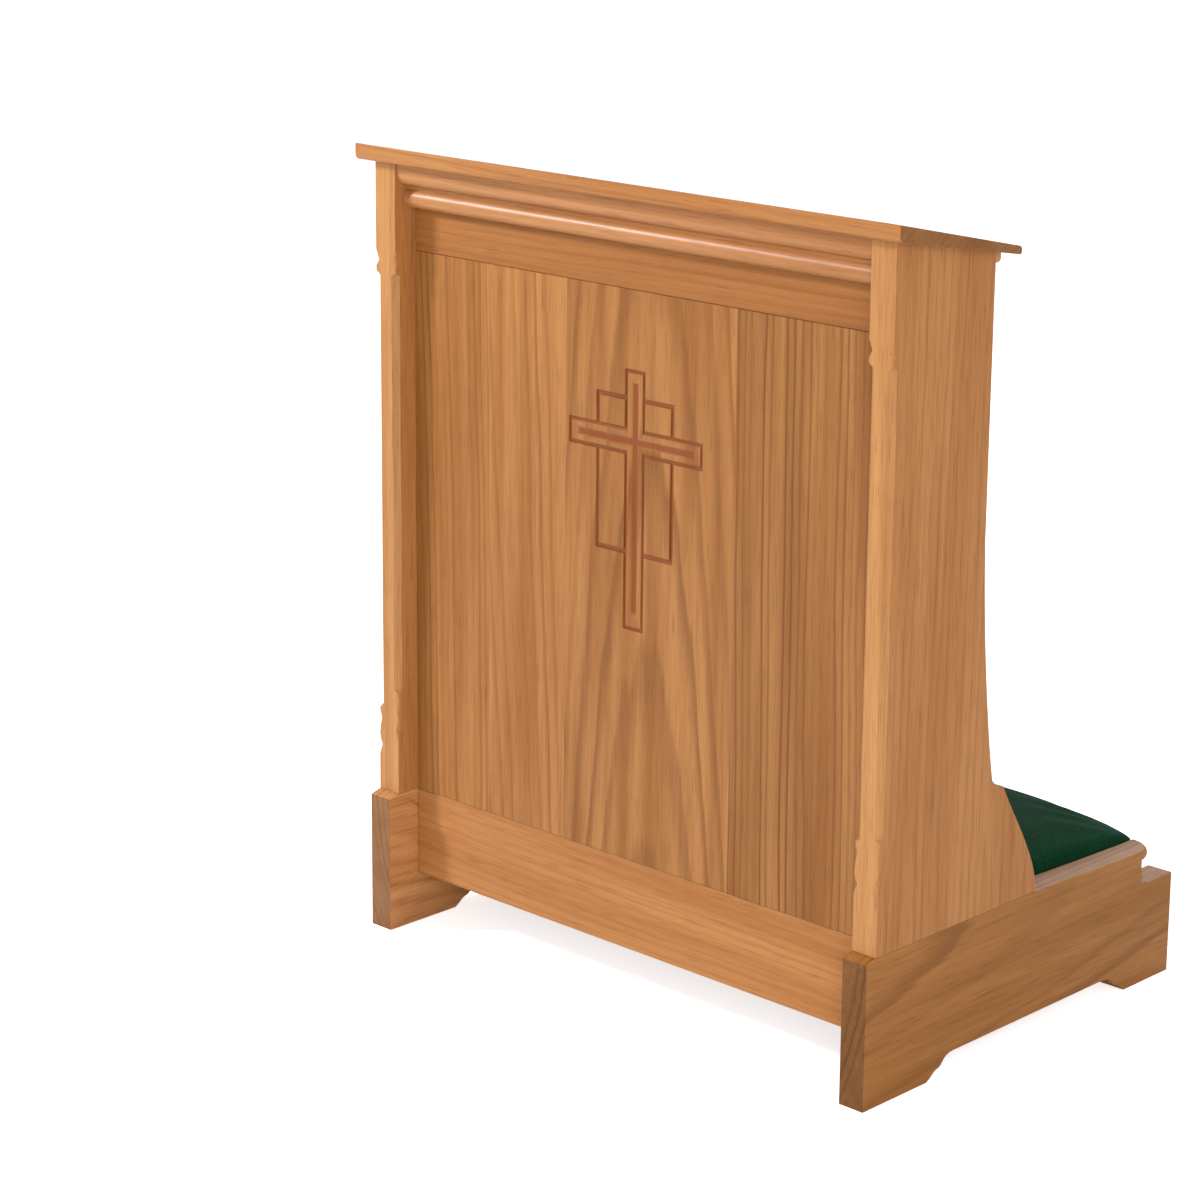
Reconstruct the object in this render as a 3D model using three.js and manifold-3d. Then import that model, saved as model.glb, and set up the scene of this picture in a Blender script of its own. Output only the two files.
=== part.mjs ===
// An oak kneeling desk (prie-dieu): two side panels on bracket-footed base boards, a carved front
// panel between two rails, a sloping desk top and a padded kneeler between the base boards.
// Millimetres, +Z up. The front with the cross faces -Y, and people kneel from the +Y side.
import * as THREE from "three";
import { mergeVertices } from "three/addons/utils/BufferGeometryUtils.js";
import Module from "manifold-3d";

const wasm = await Module();
wasm.setup();

// ---- Driving dimensions -------------------------------------------------------------------
// Depths (y) are measured from the front edges of the side panels, heights (z) from the floor.
const width = 674;              // across the outer faces of the side panels
const stock = 28.5;             // thickness of the side panels and base boards
const gap = 0.3;                // glue line between neighbouring pieces
const railStock = 19;           // thickness of the rails
const panelInset = 27.5;        // the front panel and rails lie this far behind the front edges

const baseHeight = 149;         // top of the base boards under the side panels
const baseFront = -12.8;        // the base boards stand this far in front of the side panels
const baseRear = 480;
const armNoseY = 454;           // tip of the rounded arms behind the side panels
const armNoseZ = 143;           // top of the arms at their rear ends
const noseBead = 6;             // radius of the bead around an arm's end
const rearLedge = 107;          // height of the low rear end of the base boards
const apronLift = 21;           // clearance under the base boards between their feet

const sweepFootY = 245;         // depth of a side panel where it stands on its base board
const sideTopY = 143;           // depth of a side panel under the desk top

const deskFrontY = -14.5;
const deskRearY = 163;
const deskFrontZ = 834;
const deskSlope = 0.2199;       // fall of the desk's upper face for each unit of depth
const deskFrontThick = 16;
const deskRearThick = 8;
const deskOverhang = 14.5;      // past the side panels' outer faces

const topRailBottom = 724.5;
const bottomRailBottom = 54.5;
const chamfer = 6;

const armRear = armNoseY - stock;       // where an arm starts to round off
const kneelerSlope = (baseHeight - armNoseZ) / (armRear - sweepFootY);
const kneelerFront = panelInset + railStock + gap;
const kneelerRear = 440;
const kneelerThick = 16;
const padFront = 112;
const padRear = 462;
const padThick = 47;
const padBoardThick = 9;
const padSideGap = 3;

const half = width / 2;
const inner = half - stock;
const deskRearZ = deskFrontZ - deskSlope * (deskRearY - deskFrontY);
const underSlope = (deskFrontZ - deskFrontThick - (deskRearZ - deskRearThick)) / (deskRearY - deskFrontY);
const underDesk = (y) => deskFrontZ - deskFrontThick - underSlope * (y - deskFrontY) - gap;
const kneelerTop = (y) => baseHeight - kneelerSlope * (y - sweepFootY);

// ---- Materials ----------------------------------------------------------------------------
function finish(color, roughness, metalness = 0) {
  return new THREE.MeshStandardMaterial({ color, roughness, metalness });
}
const oak = finish(0xc4915c, 0.38);
const oakSide = finish(0xb98253, 0.4);
const softwood = finish(0xd9bd8c, 0.7);
const plywood = finish(0xcaa878, 0.75);
const greenCloth = finish(0x1f4030, 0.85);
const steel = finish(0x9a9a98, 0.35, 0.9);

// ---- Solids -------------------------------------------------------------------------------
function solidOf(geometry) {
  const bare = geometry.clone();
  bare.deleteAttribute("normal");
  bare.deleteAttribute("uv");
  const merged = mergeVertices(bare, 1e-4);
  return new wasm.Manifold(new wasm.Mesh({
    numProp: 3,
    vertProperties: new Float32Array(merged.attributes.position.array),
    triVerts: new Uint32Array(merged.index.array),
  }));
}

function geometryOf(solid) {
  const mesh = solid.getMesh();
  const geometry = new THREE.BufferGeometry();
  geometry.setAttribute("position", new THREE.BufferAttribute(mesh.vertProperties, 3));
  geometry.setIndex(new THREE.BufferAttribute(mesh.triVerts, 1));
  geometry.computeVertexNormals();
  return geometry;
}

function boxGeometry([x0, x1], [y0, y1], [z0, z1]) {
  const box = new THREE.BoxGeometry(x1 - x0, y1 - y0, z1 - z0);
  return box.translate((x0 + x1) / 2, (y0 + y1) / 2, (z0 + z1) / 2);
}
const boxSolid = (...spans) => solidOf(boxGeometry(...spans));

// A board cut to an outline in the (y, z) plane, from x0 to x1.
const acrossX = new THREE.Matrix4().makeBasis(
  new THREE.Vector3(0, 1, 0), new THREE.Vector3(0, 0, 1), new THREE.Vector3(1, 0, 0));
function profileGeometry(shape, x0, x1, curveSegments = 10) {
  const board = new THREE.ExtrudeGeometry(shape, { depth: x1 - x0, bevelEnabled: false, curveSegments });
  return board.applyMatrix4(acrossX).translate(x0, 0, 0);
}
const profileSolid = (...args) => solidOf(profileGeometry(...args));

function shapeOf(points) {
  return new THREE.Shape(points.map(([y, z]) => new THREE.Vector2(y, z)));
}

// A round peg between two points.
function pegGeometry(from, to, radius, sides = 14) {
  const a = new THREE.Vector3(...from);
  const b = new THREE.Vector3(...to);
  const peg = new THREE.CylinderGeometry(radius, radius, a.distanceTo(b), sides);
  const along = b.clone().sub(a).normalize();
  const turn = new THREE.Quaternion().setFromUnitVectors(new THREE.Vector3(0, 1, 0), along);
  peg.applyQuaternion(turn);
  const middle = a.add(b).multiplyScalar(0.5);
  return peg.translate(middle.x, middle.y, middle.z);
}

// ---- Assembly -----------------------------------------------------------------------------
const deskStand = new THREE.Group();
deskStand.position.y = -(deskFrontY + baseRear) / 2;

function add(name, geometry, material) {
  const mesh = new THREE.Mesh(geometry, material);
  mesh.name = name;
  deskStand.add(mesh);
}

// Every bored piece keeps its solid here until all its holes are known.
const boards = new Map();
function board(name, solid, material) {
  boards.set(name, { solid, material });
}
function bore(name, from, to, radius) {
  const entry = boards.get(name);
  entry.solid = entry.solid.subtract(solidOf(pegGeometry(from, to, radius)));
}

// ---- Stopped chamfers ---------------------------------------------------------------------
// A chamfer's depth along a front corner. Each end finishes in a moulded stop: heights are
// measured from where the plain chamfer begins, towards the end of the post.
const upperStop = [[0, chamfer], [4, 0.4], [9, 0.2], [15, 4.4], [21, 2.2], [27, -0.5]];
const lowerStop = [
  [0, chamfer], [3, 0.6], [7, 1], [14, 3.2], [24, 1.2], [31, 0.2], [38, 1.4], [44, 4], [49, 2], [56, -0.5]];
const chamferTop = 700;
const chamferFoot = { left_outer: 242, left_inner: 262, right_inner: 259, right_outer: 264 };

// A tapering three-sided cutter along a vertical corner at (cornerX, 0). Inward is +1 where the
// wood lies towards +X of the corner and -1 where it lies towards -X.
function cornerCutter(cornerX, inward, footZ) {
  const outside = 1;
  const below = lowerStop.map(([rise, depth]) => [footZ - rise, depth]).reverse();
  const above = upperStop.map(([rise, depth]) => [chamferTop + rise, depth]);
  const stations = [...below, ...above];
  const vertices = stations.flatMap(([z, depth]) => [
    [cornerX - inward * outside, -outside, z],
    [cornerX + inward * (depth + outside), -outside, z],
    [cornerX - inward * outside, depth + outside, z],
  ]);
  const faces = [[0, 2, 1]];
  for (let ring = 0; ring < stations.length - 1; ring++) {
    const low = ring * 3;
    for (let side = 0; side < 3; side++) {
      const next = (side + 1) % 3;
      faces.push([low + side, low + next, low + next + 3], [low + side, low + next + 3, low + side + 3]);
    }
  }
  const last = vertices.length - 3;
  faces.push([last, last + 1, last + 2]);
  const turned = inward > 0 ? faces : faces.map(([a, b, c]) => [a, c, b]);
  const geometry = new THREE.BufferGeometry();
  geometry.setAttribute("position", new THREE.Float32BufferAttribute(vertices.flat(), 3));
  geometry.setIndex(turned.flat());
  return solidOf(geometry);
}

// ---- Side panels --------------------------------------------------------------------------
// The rear edge runs straight down, flares slowly, steps out at a small shoulder and sweeps down
// to the kneeler.
function sidePanelShape() {
  const shape = new THREE.Shape();
  const foot = baseHeight + gap;
  const shoulder = { y: 168, z: 281 };
  shape.moveTo(0, foot);
  shape.lineTo(sweepFootY, foot);
  shape.bezierCurveTo(244, 187, 199, 243, 186, 271);
  shape.quadraticCurveTo(177, 271, shoulder.y, shoulder.z);
  shape.bezierCurveTo(162, 312, 147, 400, sideTopY, 520);
  shape.lineTo(sideTopY, underDesk(sideTopY));
  shape.lineTo(0, underDesk(0));
  return shape;
}

const panelGroove = { depth: 6, front: panelInset + 6, back: panelInset + 12 };

function sidePanel(name, side) {
  const [x0, x1] = side < 0 ? [-half, -inner] : [inner, half];
  let solid = profileSolid(sidePanelShape(), x0, x1, 16);
  solid = solid.subtract(cornerCutter(side * half, -side, chamferFoot[`${name}_outer`]));
  solid = solid.subtract(cornerCutter(side * inner, side, chamferFoot[`${name}_inner`]));
  const groove = [side * (inner - 1), side * (inner + panelGroove.depth)].sort((a, b) => a - b);
  const grooveDepth = [panelGroove.front, panelGroove.back];
  solid = solid.subtract(boxSolid(groove, grooveDepth, [baseHeight - 1, topRailBottom + 8]));
  board(`${name}_side_panel`, solid, oak);
}

// ---- Base boards --------------------------------------------------------------------------
// One board on each side: bracket feet below, a sloping ledge in front of the side panel, an arm
// beside the kneeler behind it and a low rear end.
function baseBoardShape() {
  const shape = new THREE.Shape();
  shape.moveTo(baseFront, 0);
  shape.lineTo(81, 0);
  shape.bezierCurveTo(88, 2, 92, 9, 99, 9.5);
  shape.bezierCurveTo(106, 10.5, 106, apronLift, 122, apronLift);
  shape.lineTo(366, apronLift);
  shape.bezierCurveTo(382, apronLift, 382, 11, 389, 9.5);
  shape.bezierCurveTo(396, 9, 398, 2, 404, 0);
  shape.lineTo(baseRear, 0);
  shape.lineTo(baseRear, rearLedge);
  shape.lineTo(armRear, rearLedge);
  shape.lineTo(armRear, armNoseZ);
  shape.lineTo(sweepFootY, baseHeight);
  shape.lineTo(0, baseHeight);
  shape.lineTo(baseFront, baseHeight - 3.5);
  return shape;
}

// The outer rear corner of an arm, turned about its inner edge: a bead above a cove.
function armEnd(side) {
  const profile = new THREE.Shape();
  const neck = armNoseZ - 2 * noseBead;
  profile.moveTo(stock + 2, rearLedge);
  profile.quadraticCurveTo(stock - 13, rearLedge, stock - noseBead, neck);
  profile.absarc(stock - noseBead, armNoseZ - noseBead, noseBead, -Math.PI / 2, Math.PI / 2, false);
  const outline = [[0, rearLedge - 1], [stock + 2, rearLedge - 1]];
  outline.push(...profile.getPoints(8).map(({ x, y }) => [x, y]), [0, armNoseZ]);
  const turned = new THREE.LatheGeometry(outline.map(([r, z]) => new THREE.Vector2(r, z)), 64);
  turned.rotateX(Math.PI / 2).translate(side * inner, armRear, 0);
  const reach = [side * inner, side * half].sort((a, b) => a - b);
  return solidOf(turned).intersect(boxSolid(reach, [armRear - 1, armNoseY + 2], [rearLedge - 1, armNoseZ]));
}

function baseBoard(name, side) {
  const [x0, x1] = side < 0 ? [-half, -inner] : [inner, half];
  const solid = profileSolid(baseBoardShape(), x0, x1).add(armEnd(side));
  board(`${name}_base_board`, solid, oakSide);
}

// ---- Rails and crown moulding -------------------------------------------------------------
const railSpan = [-inner + gap, inner - gap];
const railDepth = [panelInset, panelInset + railStock];

function rails() {
  const groove = [panelGroove.front, panelGroove.back];
  const [front, back] = railDepth;
  const topShape = shapeOf([
    [front, topRailBottom], [back, topRailBottom], [back, underDesk(back)], [front, underDesk(front)]]);
  const topGroove = boxSolid([-half, half], groove, [topRailBottom - 1, topRailBottom + panelGroove.depth]);
  board("top_rail", profileSolid(topShape, ...railSpan).subtract(topGroove), oak);
  const railTop = baseHeight - gap;
  const lowGroove = boxSolid([-half, half], groove, [railTop - panelGroove.depth, railTop + 1]);
  board("bottom_rail", boxSolid(railSpan, railDepth, [bottomRailBottom, railTop]).subtract(lowGroove), oak);
}

// An ovolo under the desk, a hollow, and a bead above the flat of the rail.
function crownMoulding() {
  const back = panelInset - gap;
  const shape = new THREE.Shape();
  const top = underDesk(2);
  shape.moveTo(back, underDesk(back));
  shape.lineTo(back, 770);
  shape.lineTo(20.5, 770);
  shape.absarc(20.5, 780, 10, -Math.PI / 2, -Math.PI * 1.35, true);
  shape.quadraticCurveTo(15.5, 792, 13, 793.2);
  shape.absarc(14, 805, 11.5, -Math.PI / 2, -Math.PI, true);
  shape.lineTo(2.5, top);
  add("crown_moulding", profileGeometry(shape, ...railSpan, 12), oak);
}

// ---- Front panel with the carved cross ----------------------------------------------------
const cross = {
  top: 647, bottom: 386.5, left: -88.5, right: 88.5, armTop: 589, armBottom: 562, halfBar: 13.7,
};
const frame = { left: -51.5, right: 51.5, top: 620.5, bottom: 462.5, width: 5 };
const carving = { outline: 1.6, outlineWidth: 4, island: 0.3, frame: 1.6, vein: 2.4, veinHalfWidth: 5 };

// A straight V cut in the panel's face with mitred ends.
function veeCut([x0, z0], [x1, z1], halfWidth, depth, faceY) {
  const vertical = x0 === x1;
  const along = (point, x, z) => (vertical ? [point[0] + x, point[1] + z] : [point[0] + z, point[1] + x]);
  const outer = [
    along([x0, z0], -halfWidth, 0), along([x0, z0], halfWidth, 0),
    along([x1, z1], halfWidth, 0), along([x1, z1], -halfWidth, 0)];
  const floor = [along([x0, z0], 0, halfWidth), along([x1, z1], 0, -halfWidth)];
  const lift = 0.5;
  const ring = (y) => outer.map(([x, z]) => [x, y, z]);
  const vertices = [...ring(faceY - lift), ...ring(faceY), ...floor.map(([x, z]) => [x, faceY + depth, z])];
  const quads = [[0, 1, 2, 3]];
  for (let side = 0; side < 4; side++) {
    const next = (side + 1) % 4;
    quads.push([side, side + 4, next + 4, next]);
  }
  const faces = quads.flatMap(([a, b, c, d]) => [[a, b, c], [a, c, d]]);
  faces.push([5, 4, 8], [7, 6, 9], [6, 5, 8], [6, 8, 9], [4, 7, 9], [4, 9, 8]);
  const geometry = new THREE.BufferGeometry();
  geometry.setAttribute("position", new THREE.Float32BufferAttribute(vertices.flat(), 3));
  const turned = vertical ? faces : faces.map(([a, b, c]) => [a, c, b]);
  geometry.setIndex(turned.flat());
  return solidOf(geometry);
}

// The cross's upright and its arms as (x, z) spans, drawn in from their outline by an inset.
function crossBars(inset) {
  const { top, bottom, left, right, armTop, armBottom, halfBar } = cross;
  return [
    [[-halfBar + inset, halfBar - inset], [bottom + inset, top - inset]],
    [[left + inset, right - inset], [armBottom + inset, armTop - inset]],
  ];
}

function frontPanel() {
  const face = panelInset;
  const foot = baseHeight + gap;
  const head = topRailBottom - gap;
  const tongue = panelGroove.depth - 0.7;
  const tongueDepth = [panelGroove.front + gap, panelGroove.back - gap];
  let solid = boxSolid(railSpan, [face, face + 14], [foot, head]);
  solid = solid.add(boxSolid([railSpan[0] - tongue, railSpan[1] + tongue], tongueDepth, [foot, head]));
  solid = solid.add(boxSolid(railSpan, tongueDepth, [foot - tongue, head + tongue]));
  const cut = (...spans) => {
    solid = solid.subtract(boxSolid(...spans));
  };
  const frameDepth = [face - 1, face + carving.frame];
  cut([frame.left, frame.left + frame.width], frameDepth, [frame.bottom, frame.top]);
  cut([frame.right - frame.width, frame.right], frameDepth, [frame.bottom, frame.top]);
  cut([frame.left, frame.right], frameDepth, [frame.top - frame.width, frame.top]);
  cut([frame.left, frame.right], frameDepth, [frame.bottom, frame.bottom + frame.width]);
  for (const [spanX, spanZ] of crossBars(0)) cut(spanX, [face - 1, face + carving.outline], spanZ);
  const islandDepth = [face + carving.island, face + carving.outline + 1];
  for (const [spanX, spanZ] of crossBars(carving.outlineWidth)) {
    solid = solid.add(boxSolid(spanX, islandDepth, spanZ));
  }
  const { vein, veinHalfWidth } = carving;
  const middle = (cross.armTop + cross.armBottom) / 2;
  const island = face + carving.island;
  const veins = [
    [[0, cross.bottom + 16], [0, cross.top - 12]],
    [[cross.left + 11, middle], [cross.right - 11, middle]],
  ];
  for (const [from, to] of veins) {
    solid = solid.subtract(veeCut(from, to, veinHalfWidth, vein, island));
  }
  board("front_panel", solid, oak);
}

// ---- Desk top -----------------------------------------------------------------------------
function deskTop() {
  const edge = half + deskOverhang;
  const lip = 5;
  const shape = new THREE.Shape();
  shape.moveTo(deskFrontY, deskFrontZ);
  shape.lineTo(deskFrontY, deskFrontZ - deskFrontThick + lip);
  const frontUnder = deskFrontZ - deskFrontThick;
  shape.quadraticCurveTo(deskFrontY, frontUnder, deskFrontY + lip, frontUnder - underSlope * lip);
  shape.lineTo(deskRearY - 3, deskRearZ - deskRearThick + 3 * underSlope);
  shape.quadraticCurveTo(deskRearY, deskRearZ - deskRearThick, deskRearY, deskRearZ - deskRearThick / 2);
  shape.quadraticCurveTo(deskRearY, deskRearZ, deskRearY - 3, deskRearZ + 3 * deskSlope);
  board("desk_top", profileSolid(shape, -edge, edge, 8), oak);
}

// A rail that carries the desk's rear edge and the thin strip that covers its joint with the
// side panels.
const rearRailDepth = [sideTopY - 4 - railStock, sideTopY - 4];
function deskRearRail() {
  const [front, back] = rearRailDepth;
  const foot = 732;
  const shape = shapeOf([[front, foot], [back, foot], [back, underDesk(back)], [front, underDesk(front)]]);
  board("desk_rear_rail", profileSolid(shape, ...railSpan), oak);
}
function deskRearBead() {
  const near = sideTopY + gap;
  const far = near + 7;
  const foot = 780;
  const shape = new THREE.Shape();
  shape.moveTo(near, foot);
  shape.quadraticCurveTo(far, foot, far, foot + 4);
  shape.lineTo(far, underDesk(far));
  shape.lineTo(near, underDesk(near));
  add("desk_rear_bead", profileGeometry(shape, -half, half, 6), oak);
}

// ---- Cleats -------------------------------------------------------------------------------
const deskCleat = { front: railDepth[1] + 8, back: rearRailDepth[0] - 8, size: 22 };
const kneelerCleat = { front: 90, back: 410, size: 22 };
const kneelerBoardTop = (y) => kneelerTop(y) - 22;
const kneelerBoardUnder = (y) => kneelerBoardTop(y) - kneelerThick - gap;

function cleats(name, side) {
  const spanFrom = (size) => [side * (inner - gap), side * (inner - gap - size)].sort((a, b) => a - b);
  const { front, back, size } = deskCleat;
  const deskShape = shapeOf([
    [front, underDesk(front) - size], [back, underDesk(back) - size],
    [back, underDesk(back)], [front, underDesk(front)]]);
  board(`${name}_desk_cleat`, profileSolid(deskShape, ...spanFrom(size)), softwood);
  const low = kneelerCleat;
  const lowShape = shapeOf([
    [low.front, kneelerBoardUnder(low.front) - low.size], [low.back, kneelerBoardUnder(low.back) - low.size],
    [low.back, kneelerBoardUnder(low.back)], [low.front, kneelerBoardUnder(low.front)]]);
  board(`${name}_kneeler_cleat`, profileSolid(lowShape, ...spanFrom(low.size)), softwood);
}

// ---- Kneeler ------------------------------------------------------------------------------
const kneelerRailDepth = [kneelerRear + gap, kneelerRear + gap + 12];
function kneeler() {
  const slab = (front, back, bottomOf, topOf) => shapeOf([
    [front, bottomOf(front)], [back, bottomOf(back)], [back, topOf(back)], [front, topOf(front)]]);
  const boardShape = slab(kneelerFront, kneelerRear, (y) => kneelerBoardUnder(y) + gap, kneelerBoardTop);
  board("kneeler_board", profileSolid(boardShape, ...railSpan), oak);
  const padBoardTop = (y) => kneelerBoardTop(y) + padBoardThick;
  const boardSpan = [railSpan[0] + padSideGap + 2, railSpan[1] - padSideGap - 2];
  const padBoardShape = slab(padFront + 4, padRear - 12, (y) => kneelerBoardTop(y) + gap, padBoardTop);
  board("pad_board", profileSolid(padBoardShape, ...boardSpan), plywood);
  const padSpan = [railSpan[0] + padSideGap, railSpan[1] - padSideGap];
  const padTop = (y) => kneelerBoardTop(y) + padThick;
  const rise = padTop(padFront) - padBoardTop(padFront);
  const shape = new THREE.Shape();
  const low = (y) => padBoardTop(y) + gap;
  const shoulder = 26;
  const frontCrown = padFront + shoulder;
  const rearCrown = padRear - shoulder;
  shape.moveTo(padFront, low(padFront));
  shape.lineTo(padRear, low(padRear));
  shape.quadraticCurveTo(padRear + 1, low(padRear) + rise * 0.75, rearCrown, padTop(rearCrown));
  shape.lineTo(frontCrown, padTop(frontCrown));
  shape.quadraticCurveTo(padFront, low(padFront) + rise * 0.75, padFront, low(padFront));
  add("kneeler_pad", profileGeometry(shape, ...padSpan, 6), greenCloth);
  const [front, back] = kneelerRailDepth;
  const railShape = slab(front, back, () => 50, kneelerBoardTop);
  board("kneeler_rear_rail", profileSolid(railShape, ...railSpan), oak);
}

// ---- Dowels and screws --------------------------------------------------------------------
const dowelRadius = 4;
const holeRadius = 4.3;
const dowelReach = 15;
const holeReach = 15.6;

// A dowel centred on `point`, lying along `axis`, bored half into each of two boards.
function dowel(name, point, axis, firstBoard, secondBoard) {
  const end = (reach) => point.map((value, i) => value + axis[i] * reach);
  add(name, pegGeometry(end(-dowelReach), end(dowelReach), dowelRadius), softwood);
  bore(firstBoard, end(-holeReach), end(1), holeRadius);
  bore(secondBoard, end(-1), end(holeReach), holeRadius);
}

function dowels(name, side) {
  const sidePanelName = `${name}_side_panel`;
  const baseName = `${name}_base_board`;
  const railMiddle = (railDepth[0] + railDepth[1]) / 2 + 3;
  const rearMiddle = (rearRailDepth[0] + rearRailDepth[1]) / 2;
  const kneelerMiddle = (kneelerRailDepth[0] + kneelerRailDepth[1]) / 2;
  const outward = [side, 0, 0];
  const rows = [
    ["top_rail", railMiddle, [748, 786], sidePanelName],
    ["bottom_rail", railMiddle, [74, 122], baseName],
    ["desk_rear_rail", rearMiddle, [748, 774], sidePanelName],
    ["kneeler_rear_rail", kneelerMiddle, [80], baseName],
  ];
  for (const [railName, y, heights, endName] of rows) {
    heights.forEach((z, i) => {
      const joint = [side * (inner - gap / 2), y, z];
      dowel(`${railName}_${name}_dowel_${i + 1}`, joint, outward, railName, endName);
    });
  }
  [60, 130, 200].forEach((y, i) => {
    const place = [side * (half - stock / 2), y, baseHeight + gap / 2];
    dowel(`${name}_base_dowel_${i + 1}`, place, [0, 0, 1], baseName, sidePanelName);
  });
}

// A countersunk wood screw: head, shank and point, turned about its own axis from the head down.
const screw = { head: 3.6, shank: 1.9, tip: 3 };
function screwGeometry(head, axis, length) {
  const profile = [
    [0, length], [screw.shank, length - screw.tip], [screw.shank, 2.6], [screw.head, 0], [0, 0]];
  const turned = new THREE.LatheGeometry(profile.map(([r, z]) => new THREE.Vector2(r, -z)), 12);
  const down = new THREE.Vector3(0, -1, 0);
  turned.applyQuaternion(new THREE.Quaternion().setFromUnitVectors(down, new THREE.Vector3(...axis)));
  return solidOf(turned).translate(head);
}

// The screw passes through the first board and holds in the second.
function driveScrew(name, head, axis, length, firstBoard, secondBoard) {
  add(name, geometryOf(screwGeometry(head, axis, length)), steel);
  const end = (reach) => head.map((value, i) => value + axis[i] * reach);
  for (const boardName of [firstBoard, secondBoard]) {
    bore(boardName, end(-1), end(3), screw.head + gap);
    bore(boardName, end(-1), end(length + 0.6), screw.shank + gap);
  }
}

function screws(name, side) {
  const outward = [side, 0, 0];
  const up = [0, 0, 1];
  const cleatFace = side * (inner - gap - deskCleat.size + 0.5);
  const cleatMiddle = side * (inner - gap - deskCleat.size / 2);
  [deskCleat.front + 12, deskCleat.back - 10].forEach((y, i) => {
    driveScrew(`${name}_desk_cleat_screw_${i + 1}`, [cleatFace, y, underDesk(y) - 8], outward, 34,
      `${name}_desk_cleat`, `${name}_side_panel`);
  });
  const deskScrewY = (deskCleat.front + deskCleat.back) / 2;
  const deskScrewZ = underDesk(deskScrewY) - deskCleat.size + 1;
  driveScrew(`${name}_desk_screw`, [cleatMiddle, deskScrewY, deskScrewZ], up, 29,
    `${name}_desk_cleat`, "desk_top");
  [kneelerCleat.front + 30, kneelerCleat.back - 30].forEach((y, i) => {
    const cleatZ = kneelerBoardUnder(y) - kneelerCleat.size / 2;
    driveScrew(`${name}_kneeler_cleat_screw_${i + 1}`, [cleatFace, y, cleatZ], outward, 34,
      `${name}_kneeler_cleat`, `${name}_base_board`);
  });
  [kneelerCleat.front + 70, kneelerCleat.back - 70].forEach((y, i) => {
    const headZ = kneelerBoardUnder(y) - kneelerCleat.size + 1;
    driveScrew(`${name}_kneeler_screw_${i + 1}`, [cleatMiddle, y, headZ], up, 32,
      `${name}_kneeler_cleat`, "kneeler_board");
  });
  [padFront + 50, kneelerRear - 50].forEach((y, i) => {
    driveScrew(`${name}_pad_screw_${i + 1}`, [side * 200, y, kneelerBoardUnder(y) + 1], up, 22,
      "kneeler_board", "pad_board");
  });
}

// ---- Build --------------------------------------------------------------------------------
const sides = [["left", -1], ["right", 1]];
for (const [name, side] of sides) {
  sidePanel(name, side);
  baseBoard(name, side);
  cleats(name, side);
}
rails();
crownMoulding();
frontPanel();
deskTop();
deskRearRail();
deskRearBead();
kneeler();
for (const [name, side] of sides) {
  dowels(name, side);
  screws(name, side);
}
for (const [name, { solid, material }] of boards) add(name, geometryOf(solid), material);

const kneelingDesk = new THREE.Group();
kneelingDesk.add(deskStand);
export default kneelingDesk;
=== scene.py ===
"""Looks for an oak kneeling desk: grained oak boards, a carved front panel and a green padded kneeler.

Metres, in the CAD model's frame: the front with the cross faces -Y and people kneel from +Y.
"""
from math import cos, pi, radians, sin

import bmesh
import bpy
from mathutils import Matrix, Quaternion, Vector


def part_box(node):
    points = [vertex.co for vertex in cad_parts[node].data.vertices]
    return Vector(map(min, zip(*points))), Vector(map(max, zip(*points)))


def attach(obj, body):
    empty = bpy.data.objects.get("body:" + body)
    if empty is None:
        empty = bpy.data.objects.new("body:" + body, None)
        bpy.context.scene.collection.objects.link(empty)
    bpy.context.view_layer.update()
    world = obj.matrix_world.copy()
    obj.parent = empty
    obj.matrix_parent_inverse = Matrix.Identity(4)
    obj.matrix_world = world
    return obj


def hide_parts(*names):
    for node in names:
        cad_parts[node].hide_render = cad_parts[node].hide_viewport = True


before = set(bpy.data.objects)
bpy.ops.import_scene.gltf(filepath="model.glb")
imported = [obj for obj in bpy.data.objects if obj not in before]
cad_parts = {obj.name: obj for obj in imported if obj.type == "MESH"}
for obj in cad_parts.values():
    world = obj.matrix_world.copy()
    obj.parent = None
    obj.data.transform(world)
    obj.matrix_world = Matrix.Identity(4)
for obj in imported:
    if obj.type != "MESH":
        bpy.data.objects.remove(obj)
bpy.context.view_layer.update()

# ---- Camera ---------------------------------------------------------------------------------
CAMERA_PLACE = (2.103, -2.449, 1.290)
CAMERA_AZIMUTH = radians(43.76)
CAMERA_PITCH = radians(-13.74)
CAMERA_ROLL = radians(0.5)
CAMERA_LENS = 98.3            # millimetres
CAMERA_SHIFT_Y = -0.1


def add_camera():
    data = bpy.data.cameras.new("camera")
    data.lens = CAMERA_LENS
    data.shift_y = CAMERA_SHIFT_Y
    camera = bpy.data.objects.new("camera", data)
    level = cos(CAMERA_PITCH)
    ahead = Vector((-sin(CAMERA_AZIMUTH) * level, cos(CAMERA_AZIMUTH) * level, sin(CAMERA_PITCH)))
    camera.location = CAMERA_PLACE
    camera.rotation_mode = "QUATERNION"
    camera.rotation_quaternion = ahead.to_track_quat("-Z", "Y") @ Quaternion((0, 0, 1), CAMERA_ROLL)
    bpy.context.scene.collection.objects.link(camera)
    bpy.context.scene.camera = camera


# ---- Light and floor ------------------------------------------------------------------------
LAMP_AIM = Vector((0, 0, 0.42))
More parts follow.
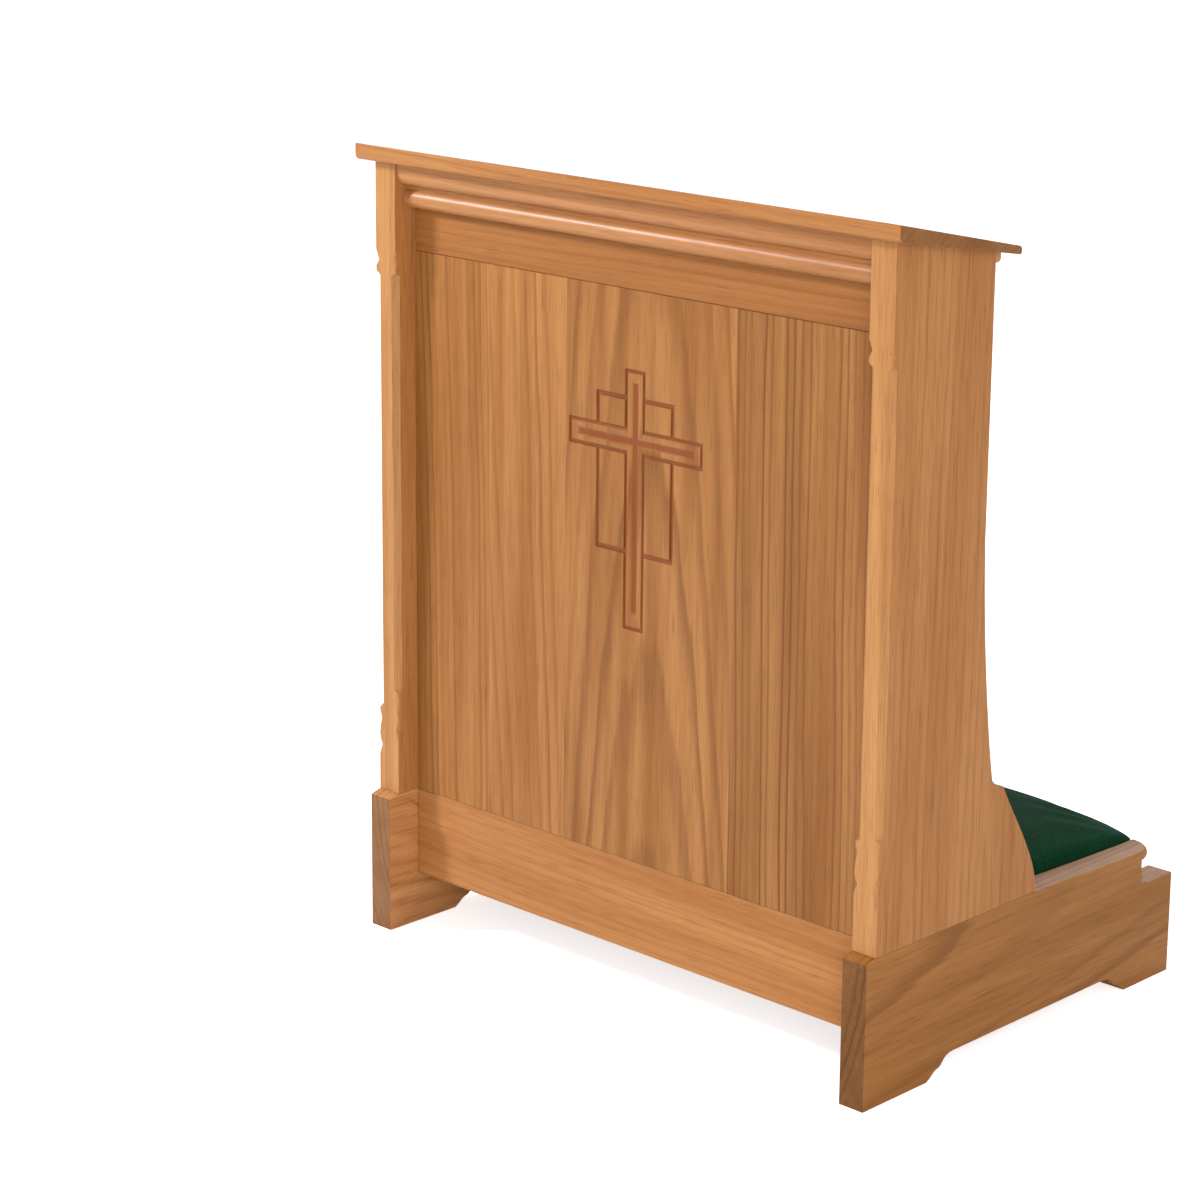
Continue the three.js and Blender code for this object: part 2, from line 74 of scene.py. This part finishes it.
# name, place, side of the square lamp, power in watts, colour
LAMPS = [
    ("key", (-2.2, -1.9, 2.1), 0.45, 76, (1.0, 0.98, 1.0)),
    ("near_fill", (2.4, -2.5, 1.3), 1.6, 52, (1.0, 0.98, 1.0)),
    ("right_fill", (3.2, 0.2, 2.0), 2.2, 14, (1.0, 0.97, 0.95)),
    ("rear_fill", (-1.0, 3.2, 2.4), 2.4, 50, (1.0, 1.0, 1.0)),
]
SKY_STRENGTH = 0.42
FLOOR_REACH = 40
FLOOR_GLOW = 0.7              # keeps the floor white for the camera, and lights nothing


def add_lamp(name, place, side, power, colour):
    data = bpy.data.lights.new(name, "AREA")
    data.size = side
    data.energy = power
    data.color = colour
    lamp = bpy.data.objects.new(name, data)
    lamp.location = place
    lamp.rotation_mode = "QUATERNION"
    lamp.rotation_quaternion = (LAMP_AIM - Vector(place)).to_track_quat("-Z", "Y")
    bpy.context.scene.collection.objects.link(lamp)


def add_world():
    """A white backdrop that lights the object with a softer, dimmer white."""
    world = bpy.data.worlds.new("studio")
    world.use_nodes = True
    tree = world.node_tree
    background = tree.nodes["Background"]
    background.inputs["Color"].default_value = (1, 1, 1, 1)
    seen = tree.nodes.new("ShaderNodeLightPath")
    strength = tree.nodes.new("ShaderNodeMapRange")
    strength.inputs["To Min"].default_value = SKY_STRENGTH
    strength.inputs["To Max"].default_value = 1.0
    tree.links.new(seen.outputs["Is Camera Ray"], strength.inputs["Value"])
    tree.links.new(strength.outputs["Result"], background.inputs["Strength"])
    bpy.context.scene.world = world
    bpy.context.scene.view_settings.view_transform = "Standard"


def add_floor(material):
    mesh = bpy.data.meshes.new("floor")
    corners = [(x * FLOOR_REACH, y * FLOOR_REACH, 0) for x, y in ((-1, -1), (1, -1), (1, 1), (-1, 1))]
    mesh.from_pydata(corners, [], [(0, 1, 2, 3)])
    mesh.materials.append(material)
    floor = bpy.data.objects.new("floor", mesh)
    bpy.context.scene.collection.objects.link(floor)


# ---- Shader building ------------------------------------------------------------------------
class Shader:
    """A node material under construction."""

    def __init__(self, name):
        self.material = bpy.data.materials.new(name)
        self.material.use_nodes = True
        self.tree = self.material.node_tree
        self.tree.nodes.clear()

    def feed(self, socket, source):
        if isinstance(source, bpy.types.NodeSocket):
            self.tree.links.new(source, socket)
        else:
            socket.default_value = source

    def node(self, kind, inputs, **settings):
        made = self.tree.nodes.new("ShaderNode" + kind)
        for key, value in settings.items():
            setattr(made, key, value)
        for key, source in inputs.items():
            self.feed(made.inputs[key], source)
        return made

    def math(self, operation, *sources):
        return self.node("Math", dict(enumerate(sources)), operation=operation).outputs[0]

    def vector(self, operation, *sources, result=0):
        return self.node("VectorMath", dict(enumerate(sources)), operation=operation).outputs[result]

    def combine(self, x, y, z):
        return self.node("CombineXYZ", {0: x, 1: y, 2: z}).outputs[0]

    def separate(self, output):
        """Three sockets by axis name, from an output of the Texture Coordinate node."""
        coords = self.node("TexCoord", {}).outputs[output]
        split = self.node("SeparateXYZ", {0: coords})
        return {axis: split.outputs[axis] for axis in "XYZ"}

    def point(self):
        """The point's place on the object, as one socket."""
        return self.node("TexCoord", {}).outputs["Object"]

    def noise(self, point, scale, detail):
        """Noise round 0.5. scale is its bumps to a metre in each direction."""
        scaled = self.vector("MULTIPLY", point, scale)
        return self.node("TexNoise", {"Vector": scaled, "Scale": 1.0, "Detail": detail}).outputs[0]

    def line_noise(self, value):
        inputs = {"W": value, "Scale": 1.0, "Detail": 1.0}
        return self.node("TexNoise", inputs, noise_dimensions="1D").outputs[0]

    def spread(self, source, low, high, to_low=0.0, to_high=1.0, smooth=False):
        """Maps low to to_low and high to to_high, and holds the value level outside them."""
        kind = "SMOOTHSTEP" if smooth else "LINEAR"
        inputs = {"Value": source, "From Min": low, "From Max": high, "To Min": to_low, "To Max": to_high}
        return self.node("MapRange", inputs, interpolation_type=kind).outputs["Result"]

    def steps(self, source, stops):
        """A value that changes at each stop. stops are (place, value), with places from 0 to 1."""
        made = self.node("ValToRGB", {0: source})
        made.color_ramp.interpolation = "CONSTANT"
        elements = made.color_ramp.elements
        while len(elements) < len(stops):
            elements.new(0.5)
        for element, (position, value) in zip(elements, stops):
            element.position = position
            element.color = (value, value, value, 1)
        return made.outputs[0]

    def mix(self, factor, first, second, blend="MIX"):
        made = self.node("Mix", {0: factor}, data_type="RGBA", blend_type=blend)
        self.feed(made.inputs[6], first)
        self.feed(made.inputs[7], second)
        return made.outputs[2]

    def finish(self, colour, roughness, height=None, bump_depth=0.0, **others):
        """Joins the surface up. others holds its further inputs by name."""
        surface = self.node("BsdfPrincipled", {"Base Color": colour, "Roughness": roughness})
        for key, value in others.items():
            self.feed(surface.inputs[key.replace("_", " ")], value)
        if height is not None:
            bump = self.node("Bump", {"Height": height, "Distance": bump_depth, "Strength": 1.0})
            self.tree.links.new(bump.outputs[0], surface.inputs["Normal"])
        output = self.tree.nodes.new("ShaderNodeOutputMaterial")
        self.tree.links.new(surface.outputs[0], output.inputs["Surface"])
        return self.material


def linear(red, green, blue):
    """A colour given in 0 to 255 screen values, as linear light with full alpha."""
    return (*((value / 255) ** 2.2 for value in (red, green, blue)), 1)


# ---- Oak ------------------------------------------------------------------------------------
# Early wood, middle and late wood of each colour of board.
FIGURED = [linear(193, 134, 77), linear(166, 108, 55), linear(136, 84, 39)]
WARM = [linear(188, 130, 77), linear(171, 113, 62), linear(142, 88, 44)]
PALE = [linear(207, 150, 96), linear(194, 134, 82), linear(170, 112, 64)]
# Darker amber oak for the top rail: painted shade under the crown moulding and desk top.
AMBER_PAINTED_SHADE = [linear(168, 111, 60), linear(150, 95, 48), linear(124, 75, 34)]
BROWN = [linear(174, 118, 62), linear(157, 103, 50), linear(124, 77, 34)]
PORE = linear(112, 62, 26)
PORE_SHARE = 0.36
STREAK_SHARE = 0.3
# Darker reddish brown laid over what is cut deeper into the front panel's face.
CARVING_DARK = linear(134, 68, 31)
CARVING_DARK_SHARE = 0.85
# Painted highlight: lifts the colour of the side panels' narrow front and rear faces, most in blue, for
# their sheen.
PAINTED_SHEEN_LIFT = (1.08, 1.18, 1.28, 1)
END_GRAIN_TONE = 0.6

RING_GAP = 0.0085             # between one year's ring and the next
RING_WOBBLE = 0.02            # how far the rings wander from true circles
RING_FRAY = 0.5               # how far their lines fray, in ring gaps
LATE_WOOD_STARTS = (0.42, 0.86)       # shares of a ring between which it darkens
LATE_WOOD_ENDS = (0.88, 1.0)          # shares of a ring between which it clears again
# Bumps to a metre of each layer of figure: across the board, through it and along its grain.
WOBBLE_SCALE = (9.0, 9.0, 1.9)
BAND_SCALE = (34.0, 34.0, 1.7)
FRAY_SCALE = (70.0, 70.0, 5.0)
STREAK_SCALE = (260.0, 260.0, 5.5)
PORE_SCALE = (950.0, 950.0, 26.0)
SEED_STEP = (1.0, 1.7, 2.3)   # how far a seed of 1 moves a board's noise
PLANK_STEP_ACROSS = 1.9       # how far a plank number of 1 moves a plank's figure
PLANK_STEP_ALONG = 3.7
GRAIN_RELIEF = 0.00012        # depth of the open pores
CARVING_DARK_SHALLOW = (0.0005, 0.0015)      # depths between which the grooves' darker colour sets in
CARVING_DARK_DEEP = (0.0028, 0.0032)         # depths between which it stops


def by_plank(shader, across, planks, column):
    """A value from one column of the planks' rows, constant over each plank."""
    first, last = planks[0][0], planks[-1][0] + 1
    share = shader.spread(across, first, last)
    return shader.steps(share, [((row[0] - first) / (last - first), row[column]) for row in planks])


def late_wood(shader, point, u, v, w, pith, tilt):
    """The dark side of each ring, from 0 to 1. u, v and w run across, through and along the board."""
    wobble = shader.math("SUBTRACT", shader.noise(point, WOBBLE_SCALE, 1.5), 0.5)
    u_turned = shader.math("MULTIPLY_ADD", wobble, RING_WOBBLE, shader.math("SUBTRACT", u, pith[0]))
    v_turned = shader.math("ADD", v, shader.math("MULTIPLY_ADD", w, tilt, pith[1]))
    radius = shader.vector("LENGTH", shader.combine(u_turned, v_turned, 0.0), result=1)
    fray = shader.noise(point, FRAY_SCALE, 2.0)
    rings = shader.math("MULTIPLY_ADD", fray, RING_FRAY, shader.math("DIVIDE", radius, RING_GAP))
    phase = shader.math("FRACT", rings)
    darkens = shader.spread(phase, *LATE_WOOD_STARTS, smooth=True)
    clears = shader.spread(phase, *LATE_WOOD_ENDS, 1.0, 0.0, smooth=True)
    strength = shader.spread(shader.line_noise(shader.math("MULTIPLY", rings, 0.37)), 0.35, 0.65, 0.12, 1.1)
    return shader.math("MULTIPLY", shader.math("MULTIPLY", darkens, clears), strength)


def wood_colour(shader, point, band, ring, pore, colours):
    """Soft bands of early and middle wood, with the rings, dark streaks and open pores over them."""
    early, middle, late = colours
    colour = shader.mix(shader.spread(band, 0.36, 0.64), early, middle)
    colour = shader.mix(ring, colour, late)
    colour = shader.mix(shader.math("MULTIPLY", pore, PORE_SHARE), colour, PORE)
    streak = shader.spread(shader.noise(point, STREAK_SCALE, 2.0), 0.5, 0.75)
    return shader.mix(shader.math("MULTIPLY", streak, STREAK_SHARE), colour, late)


def shade_faces(shader, colour, along, across, end_tone, painted_sheen_edges):
    """Darkens the end grain and, on a board with painted sheen edges, paints a highlight on its narrow long
    faces.
    """
    facing = shader.separate("Normal")
    end_on = shader.math("ABSOLUTE", facing[along])
    colour = shader.mix(1.0, colour, shader.spread(end_on, 0.75, 0.95, 1.0, end_tone), "MULTIPLY")
    if painted_sheen_edges:
        # Painted highlight on the faces that face along the across axis.
        sheen_facing = shader.spread(shader.math("ABSOLUTE", facing[across]), 0.55, 0.75)
        colour = shader.mix(sheen_facing, colour, shader.mix(1.0, colour, PAINTED_SHEEN_LIFT, "MULTIPLY"))
    return colour


def darken_carving(shader, colour, depth, face):
    """Darkens what is cut into a face, but not the back of the board."""
    cut = shader.spread(depth, *(face + limit for limit in CARVING_DARK_SHALLOW))
    in_front = shader.spread(depth, *(face + limit for limit in CARVING_DARK_DEEP), 1.0, 0.0)
    darkened = shader.math("MULTIPLY", shader.math("MULTIPLY", cut, in_front), CARVING_DARK_SHARE)
    return shader.mix(darkened, colour, CARVING_DARK)


def oak(name, along, across, depth, pith, stripe, tilt=0.03, seed=0.0, colours=WARM, end_tone=END_GRAIN_TONE,
        planks=None, carved_from=None, coat=0.06, painted_sheen_edges=False):
    """Oak with its grain along one axis.

    The tree's centre lies at pith[0] on the across axis and at -pith[1] on the depth axis, and tilt
    leans it so that the rings end in arches. stripe is the strength of the rings. planks holds a row
    for each plank of a veneer: where it starts, its number, its tone and its contrast. carved_from is
    the place of the face that a carving is cut into.
    """
    shader = Shader(name)
    place = shader.separate("Object")
    u, v, w = place[across], place[depth], place[along]
    if planks:
        number, plank_tone_and_painted_shade, contrast = (by_plank(shader, u, planks, column) for column in (1, 2, 3))
        u = shader.math("ADD", u, shader.math("MULTIPLY", number, PLANK_STEP_ACROSS))
        w = shader.math("ADD", w, shader.math("MULTIPLY", number, PLANK_STEP_ALONG))
    point = shader.vector("ADD", shader.combine(u, v, w), tuple(seed * step for step in SEED_STEP))

    ring = shader.math("MULTIPLY", late_wood(shader, point, u, v, w, pith, tilt), stripe)
    if planks:
        ring = shader.math("MULTIPLY", ring, contrast)
    band = shader.noise(point, BAND_SCALE, 3.0)
    pore = shader.spread(shader.noise(point, PORE_SCALE, 1.0), 0.55, 0.72)
    colour = wood_colour(shader, point, band, ring, pore, colours)
    if planks:
        # The planks' tones hold painted shade that darkens toward the panel's right, besides their own tone.
        colour = shader.mix(1.0, colour, plank_tone_and_painted_shade, "MULTIPLY")
    colour = shade_faces(shader, colour, along, across, end_tone, painted_sheen_edges)
    if carved_from is not None:
        colour = darken_carving(shader, colour, place[depth], carved_from)

    roughness = shader.spread(band, 0.3, 0.7, 0.38, 0.48)
    height = shader.math("SUBTRACT", shader.math("MULTIPLY", ring, 0.3), pore)
    gloss = {"Specular_IOR_Level": 0.22, "Coat_Weight": coat, "Coat_Roughness": 0.36}
    return shader.finish(colour, roughness, height, GRAIN_RELIEF, **gloss)


# ---- Other materials ------------------------------------------------------------------------
THREAD = 0.0011               # width of a thread of the cloth
THREAD_STRETCH = 0.16         # how slowly the weave changes along a thread, against across it
CLOTH_GREEN = linear(18, 62, 42)
CLOTH_WORN = linear(29, 82, 55)
CLOTH_GAP = linear(13, 46, 31)


def plain_wood(name, along, pale, dark):
    """Unfinished wood of a cleat or a dowel: thin rings and a dull face."""
    shader = Shader(name)
    scale = [3.0 if axis == along else 60.0 for axis in "XYZ"]
    grain = shader.noise(shader.point(), scale, 3.0)
    fibres = shader.noise(shader.point(), [9.0 * value for value in scale], 1.0)
    shade = shader.math("MULTIPLY_ADD", fibres, 0.35, shader.math("MULTIPLY", grain, 0.65))
    colour = shader.mix(shader.spread(shade, 0.38, 0.62), pale, dark)
    return shader.finish(colour, shader.spread(grain, 0.3, 0.7, 0.62, 0.74), fibres, 0.0001)


def zinc(name):
    """Dull bright-plated screw steel."""
    shader = Shader(name)
    patches = shader.noise(shader.point(), (300.0, 300.0, 300.0), 3.0)
    colour = shader.mix(patches, (0.42, 0.42, 0.41, 1), (0.6, 0.6, 0.58, 1))
    return shader.finish(colour, shader.spread(patches, 0.3, 0.7, 0.28, 0.45), Metallic=1.0)


def cloth(name):
    """Dark green woven upholstery cloth with a short nap."""
    shader = Shader(name)
    point = shader.point()
    close, long = 1 / THREAD, THREAD_STRETCH / THREAD
    warp = shader.noise(point, (close, long, close), 0.0)
    weft = shader.noise(point, (long, close, close), 0.0)
    weave = shader.spread(shader.math("ADD", warp, weft), 0.7, 1.3)
    nap = shader.noise(point, (900.0, 900.0, 900.0), 2.0)
    height = shader.math("MULTIPLY_ADD", nap, 0.8, shader.math("MULTIPLY", weave, 0.3))
    worn = shader.noise(point, (11.0, 11.0, 11.0), 3.0)
    base = shader.mix(shader.spread(worn, 0.3, 0.7), CLOTH_GREEN, CLOTH_WORN)
    colour = shader.mix(shader.spread(height, 0.3, 0.85), CLOTH_GAP, base)
    sheen = {"Sheen_Weight": 0.06, "Sheen_Roughness": 0.4, "Sheen_Tint": (0.5, 0.8, 0.62, 1)}
    roughness = shader.spread(nap, 0.3, 0.7, 0.82, 0.95)
    return shader.finish(colour, roughness, height, 0.0004, Specular_IOR_Level=0.08, **sheen)


def pale_floor():
    shader = Shader("floor")
    grain = shader.noise(shader.point(), (3.0, 3.0, 3.0), 2.0)
    colour = shader.mix(grain, (0.93, 0.93, 0.93, 1), (0.95, 0.95, 0.95, 1))
    seen = shader.node("LightPath", {}).outputs["Is Camera Ray"]
    glow = {"Emission_Color": (1, 1, 1, 1), "Emission_Strength": shader.math("MULTIPLY", seen, FLOOR_GLOW)}
    return shader.finish(colour, 0.9, Specular_IOR_Level=0.1, **glow)


# ---- Boards ---------------------------------------------------------------------------------
EASE = 0.0011                 # how far an eased edge is cut back
EASED_ANGLE = radians(35)     # edges blunter than this are left alone
EASED_AREA = 3.6e-5           # faces smaller than this keep their edges
WELD = 1e-6                   # corners closer together than this become one
FLAT_ANGLE = radians(0.6)     # faces that differ by less become one
SHARP_ANGLE = radians(32)     # edges blunter than this are shaded smooth


def cleaned(node):
    """The CAD node's mesh with its split corners joined and its flat faces made whole."""
    bm = bmesh.new()
    bm.from_mesh(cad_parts[node].data)
    bmesh.ops.remove_doubles(bm, verts=bm.verts, dist=WELD)
    bmesh.ops.dissolve_limit(bm, angle_limit=FLAT_ANGLE, verts=bm.verts, edges=bm.edges)
    return bm


def ease_edges(bm):
    """Rounds over the sharp outer edges between two large enough faces."""
    edges = [
        edge for edge in bm.edges
        if len(edge.link_faces) == 2
        and edge.calc_face_angle(0) > EASED_ANGLE
        and min(face.calc_area() for face in edge.link_faces) > EASED_AREA
        and edge.is_convex
    ]
    bmesh.ops.bevel(bm, geom=edges, offset=EASE, segments=2, profile=0.5, affect="EDGES", clamp_overlap=True)


def board(node, material, eased=True):
    """A finished copy of a CAD board, which takes its place."""
    bm = cleaned(node)
    if eased:
        ease_edges(bm)
    bmesh.ops.triangulate(bm, faces=[face for face in bm.faces if len(face.verts) > 4])
    mesh = bpy.data.meshes.new(node + "_finished")
    bm.to_mesh(mesh)
    bm.free()
    mesh.shade_smooth()
    mesh.set_sharp_from_angle(angle=SHARP_ANGLE)
    mesh.materials.append(material)
    piece = bpy.data.objects.new(node + "_finished", mesh)
    bpy.context.scene.collection.objects.link(piece)
    normals = piece.modifiers.new("even_faces", "WEIGHTED_NORMAL")
    normals.keep_sharp = True
    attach(piece, "root")
    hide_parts(node)


# where each plank of the front panel's veneer starts, its number, its tone, its contrast. The tones darken
# toward the right: partly the planks' own tone, partly painted shade for light that falls off toward the
# right.
VENEER = [
    (-0.32, 0.42, 0.84, 0.55),
    (-0.205, 0.18, 0.86, 0.55),
    (-0.095, 0.0, 0.8, 0.75),
    (0.128, 0.86, 0.73, 0.85),
    (0.212, 0.5, 0.74, 0.6),
]
# side, seed, the base board's colours, the tone of its end grain. The pale left and brown right colours are
# painted light and painted shade on what is one oak.
SIDES = [("left", 1.3, PALE, 0.46), ("right", 4.1, BROWN, 0.52)]
# node, seed, across and depth axes, the tree's centre, colours
CROSS_BOARDS = [
    # the top rail's darker colours are painted shade under the crown moulding and desk top
    ("top_rail", 2.2, "Z", "Y", (0.9, 0.2), AMBER_PAINTED_SHADE),
    ("bottom_rail", 3.6, "Z", "Y", (0.3, 0.1), WARM),
    ("desk_top", 6.4, "Y", "Z", (0.4, 0.1), WARM),
    ("desk_rear_rail", 7.7, "Z", "Y", (0.9, 0.2), WARM),
    ("kneeler_board", 9.1, "Y", "Z", (0.1, 0.1), WARM),
    ("kneeler_rear_rail", 10.4, "Z", "Y", (0.2, 0.1), BROWN),
]


def front_panel():
    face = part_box("front_panel")[0].y
    wood = oak("oak_front_panel", "Z", "X", "Y", (0.02, 0.40), 1.0, tilt=0.04, colours=FIGURED,
               planks=VENEER, carved_from=face)
    board("front_panel", wood, eased=False)


def side_boards():
    for side, seed, base_colours_with_painted_light, base_end in SIDES:
        # The uprights get a painted highlight on their narrow front and rear faces.
        upright = oak(f"oak_{side}_side", "Z", "Y", "X", (0.35, 0.1), 0.3, tilt=0.02, seed=seed,
                      painted_sheen_edges=True)
        board(f"{side}_side_panel", upright)
        # The left base board's pale colours are painted light, and the right one's brown colours painted
        # shade.
        lying = oak(f"oak_{side}_base", "Y", "Z", "X", (0.16, 0.03), 0.7, tilt=0.05, seed=seed + 2,
                    colours=base_colours_with_painted_light, end_tone=base_end)
        board(f"{side}_base_board", lying)


def cross_boards():
    for node, seed, across, depth, pith, colours in CROSS_BOARDS:
        wood = oak("oak_" + node, "X", across, depth, pith, 0.35, seed=seed, colours=colours)
        board(node, wood)


def mouldings():
    pith = (0.9, 0.2)
    crown = oak("oak_crown_moulding", "X", "Z", "Y", pith, 0.25, seed=5.2, coat=0.45)
    board("crown_moulding", crown, eased=False)
    bead = oak("oak_desk_rear_bead", "X", "Z", "Y", pith, 0.3, seed=8.3, colours=PALE, end_tone=0.95)
    board("desk_rear_bead", bead, eased=False)


def paint_fittings():
    """Materials for the cleats, dowels and screws, which keep their CAD shapes."""
    finishes = {
        "screw": zinc("screw_zinc"),
        "dowel": plain_wood("dowel_beech", "X", linear(214, 178, 132), linear(186, 146, 100)),
        "cleat": plain_wood("cleat_softwood", "Y", linear(222, 190, 138), linear(190, 150, 98)),
    }
    for node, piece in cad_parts.items():
        for word, finish in finishes.items():
            if word in node:
                piece.data.materials.clear()
                piece.data.materials.append(finish)
                break


# ---- Kneeler pad ----------------------------------------------------------------------------
PAD_CROWN = 0.008             # how far the middle of the pad's first shape rises over its CAD solid
PAD_OVERHANG = 0.005          # how far the cover's outline reaches past its CAD solid at the rear
PAD_START_INSET = 0.0015      # how far the pad's first shape stays inside that outline
PAD_REACH = 0.003             # how far any point may move while the pad fills
PAD_HELD = 0.008              # how much of the pad over its underside stays where it is
PAD_BOARD_THICK = 0.009
PAD_PRESSURE = 4              # how hard the simulation blows the cover up
PAD_STEPS = 20                # steps of the cloth simulation
PAD_VOXEL = 0.006             # size of the cells of the even mesh
PAD_ROWS = 24                 # faces along each side of the first shape
# How far the pad falls from its middle, and how much further at its edges, as shares of its height.
SIDE_CROWN, SIDE_ROUND = 0.12, 0.26
END_CROWN, END_ROUND = 0.14, 0.33


def pad_underside():
    """The height of the pad board's underside, as a function of y, and the pad's greatest thickness."""
    low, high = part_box("kneeler_pad")
    board_low, board_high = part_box("pad_board")
    slope = (board_high.z - board_low.z - PAD_BOARD_THICK) / (board_high.y - board_low.y)

    def underside(y):
        return board_low.z + slope * (board_high.y - y)

    return underside, high.z - underside(low.y)


def pad_share(across, along):
    """The cover's height as a share of its greatest. across and along run from -1 to 1."""
    sides = 1 - SIDE_CROWN * across ** 2 - SIDE_ROUND * across ** 12
    ends = 1 - END_CROWN * along ** 2 - END_ROUND * along ** 8
    return sides * ends


def start_pad():
    """A crowned slab that follows the kneeler's slope, with its rows closer together at its edges."""
    low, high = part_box("kneeler_pad")
    high.y += PAD_OVERHANG
    middle = (low + high) / 2
    reach = (high - low) / 2 - Vector((PAD_START_INSET,) * 3)
    underside, thickness = pad_underside()
    bm = bmesh.new()
    bmesh.ops.create_cube(bm, size=2)
    bmesh.ops.subdivide_edges(bm, edges=bm.edges, cuts=PAD_ROWS - 1, use_grid_fill=True)
    for vert in bm.verts:
        across, along = sin(vert.co.x * pi / 2), sin(vert.co.y * pi / 2)
        y = middle.y + along * reach.y
        rise = (vert.co.z + 1) / 2 * (thickness + PAD_CROWN) * pad_share(across, along)
        vert.co = (middle.x + across * reach.x, y, underside(y) + rise)
    mesh = bpy.data.meshes.new("kneeler_pad_cover")
    bm.to_mesh(mesh)
    bm.free()
    pad = bpy.data.objects.new("kneeler_pad_cover", mesh)
    bpy.context.scene.collection.objects.link(pad)
    return pad


def apply_modifiers(piece):
    graph = bpy.context.evaluated_depsgraph_get()
    made = bpy.data.meshes.new_from_object(piece.evaluated_get(graph))
    piece.modifiers.clear()
    piece.data = made


def even_mesh(pad):
    remesh = pad.modifiers.new("even_mesh", "REMESH")
    remesh.mode = "VOXEL"
    remesh.voxel_size = PAD_VOXEL
    apply_modifiers(pad)


def hold_underside(pad):
    """A vertex group of the lower part of the pad, which the simulation leaves where it is."""
    underside, _ = pad_underside()
    held = pad.vertex_groups.new(name="held")
    for vert in pad.data.vertices:
        if vert.co.z - underside(vert.co.y) < PAD_HELD:
            held.add([vert.index], 1.0, "REPLACE")
    return held.name


def fill_pad(pad):
    """Inflates the pad as cloth, holding its underside flat."""
    even_mesh(pad)
    held = hold_underside(pad)
    start = [vert.co.copy() for vert in pad.data.vertices]
    filled = pad.modifiers.new("fill", "CLOTH")
    filled.settings.use_pressure = True
    filled.settings.uniform_pressure_force = PAD_PRESSURE
    filled.settings.effector_weights.gravity = 0
    filled.settings.vertex_group_mass = held
    for step in range(1, PAD_STEPS + 1):
        bpy.context.scene.frame_set(step)
    apply_modifiers(pad)
    for vert, before in zip(pad.data.vertices, start):
        moved = vert.co - before
        if moved.length > PAD_REACH:
            vert.co = before + moved.normalized() * PAD_REACH
    bpy.context.scene.frame_set(1)


def kneeler_pad(material):
    pad = start_pad()
    fill_pad(pad)
    finer = pad.modifiers.new("finer", "SUBSURF")
    finer.levels = finer.render_levels = 1
    apply_modifiers(pad)
    pad.data.shade_smooth()
    pad.data.materials.clear()
    pad.data.materials.append(material)
    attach(pad, "root")
    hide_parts("kneeler_pad", "pad_board")


add_camera()
for lamp in LAMPS:
    add_lamp(*lamp)
add_world()
add_floor(pale_floor())
front_panel()
side_boards()
cross_boards()
mouldings()
paint_fittings()
kneeler_pad(cloth("green_upholstery"))
